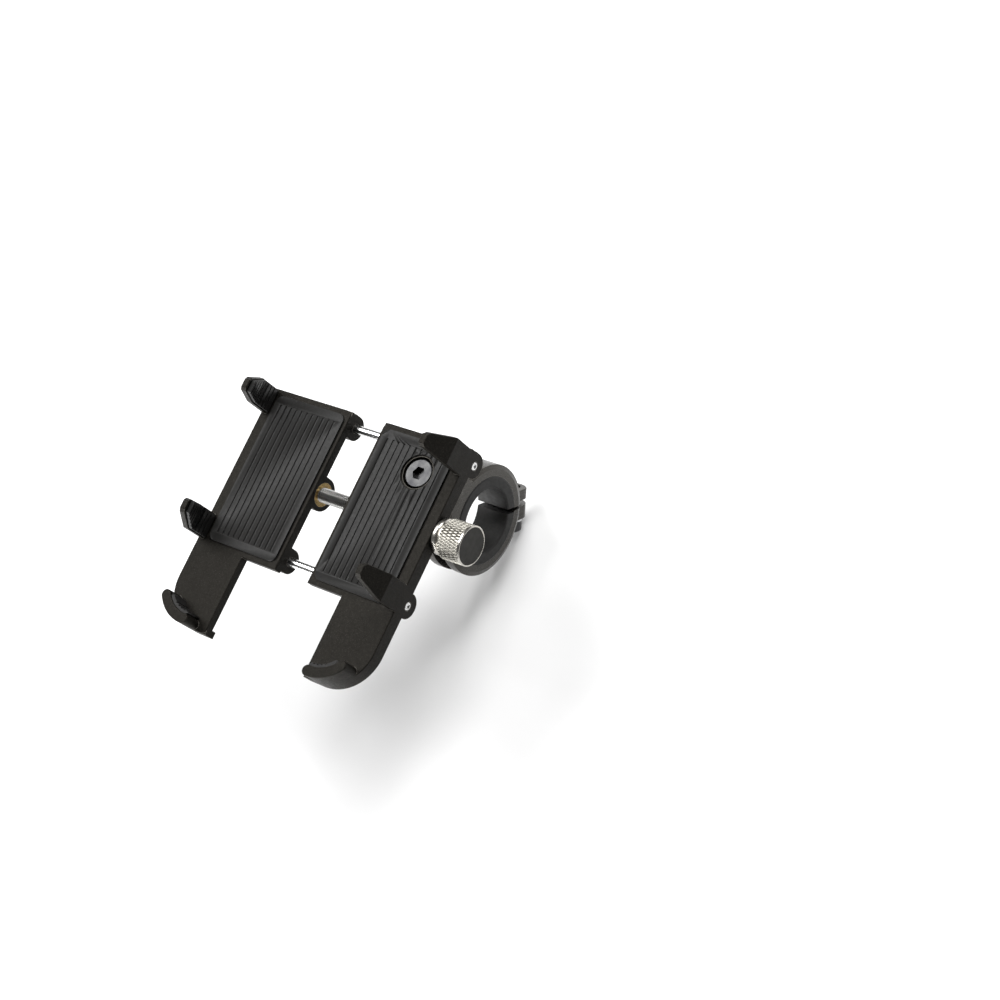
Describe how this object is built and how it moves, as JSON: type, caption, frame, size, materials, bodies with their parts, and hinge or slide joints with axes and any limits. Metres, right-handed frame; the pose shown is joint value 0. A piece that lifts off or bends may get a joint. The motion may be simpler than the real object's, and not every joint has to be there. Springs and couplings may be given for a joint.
{
  "type": "handlebar phone mount",
  "caption": "Black aluminium phone mount: a hinged clamp for a round handlebar, a swivel, and clawed jaws that a knurled knob closes on the phone's sides.",
  "frame": {"origin": "centre of the handlebar clamp's bore, midway along its width", "axes": "+X along the handlebar towards the knob, +Y towards the top of the phone, +Z from the bar out towards the phone's screen"},
  "size_m": [0.0967, 0.0914, 0.0808],
  "materials": {
    "clamp_metal": "satin black anodised, bevelled rims",
    "jaw_metal": "black anodised over a fine blasted texture",
    "liner_rubber": "matt black rubber",
    "pad_rubber": "matt black silicone",
    "screw_steel": "black oxide steel",
    "washer_steel": "plain steel",
    "rod_steel": "ground stainless steel",
    "lead_steel": "zinc plated steel",
    "brass": "turned brass",
    "knob_metal": "nickel plated, diamond knurled",
    "swivel_washer": "black acetal"
  },
  "bodies": {
    "clamp": {"clamp_saddle": "clamp_metal", "saddle_liner": "liner_rubber", "hinge_pin": "rod_steel", "swivel_washer": "swivel_washer", "bolt_washer": "washer_steel", "swivel_bolt": "screw_steel"},
    "strap": {"clamp_strap": "clamp_metal", "strap_liner": "liner_rubber"},
    "clamp_screw": {"clamp_screw": "screw_steel", "clamp_screw_washer": "washer_steel"},
    "fixed_jaw": {"fixed_jaw": "jaw_metal", "fixed_floor_pad": "pad_rubber", "fixed_upper_claw_pad": "pad_rubber", "fixed_lower_claw_pad": "pad_rubber", "fixed_corner_pad": "pad_rubber", "guide_rod_upper": "rod_steel", "guide_rod_lower": "rod_steel", "screw_bushing": "brass"},
    "sliding_jaw": {"sliding_jaw": "jaw_metal", "sliding_floor_pad": "pad_rubber", "sliding_upper_claw_pad": "pad_rubber", "sliding_lower_claw_pad": "pad_rubber", "sliding_corner_pad": "pad_rubber", "traveller_nut": "brass"},
    "screw": {"lead_screw": "lead_steel", "retaining_clip": "washer_steel", "knob": "knob_metal"}
  },
  "joints": [
    {"name": "strap_open", "type": "hinge", "parent": "clamp", "child": "strap", "pos_m": [0, -0.01059, 0.01355], "axis": [-1, 0, 0], "range_deg": [0, 60]},
    {"name": "clamp_screw_turn", "type": "hinge", "parent": "strap", "child": "clamp_screw", "pos_m": [0, 0.01354, -0.01734], "axis": [0, -0.788, -0.6157], "continuous": true},
    {"name": "holder_swivel", "type": "hinge", "parent": "clamp", "child": "fixed_jaw", "pos_m": [0, 0, 0.0235], "axis": [0, 0, 1], "continuous": true},
    {"name": "knob_turn", "type": "hinge", "parent": "fixed_jaw", "child": "screw", "pos_m": [0.0149, -0.0155, 0.03095], "axis": [1, 0, 0], "range_deg": [-4550, 6350]},
    {"name": "jaw_slide", "type": "slide", "parent": "fixed_jaw", "child": "sliding_jaw", "axis": [-1, 0, 0], "range_m": [-0.01, 0.014]}
  ],
  "couplings": [
    {"joint": "knob_turn", "follows": "jaw_slide", "rad_per_m": 7854}
  ]
}
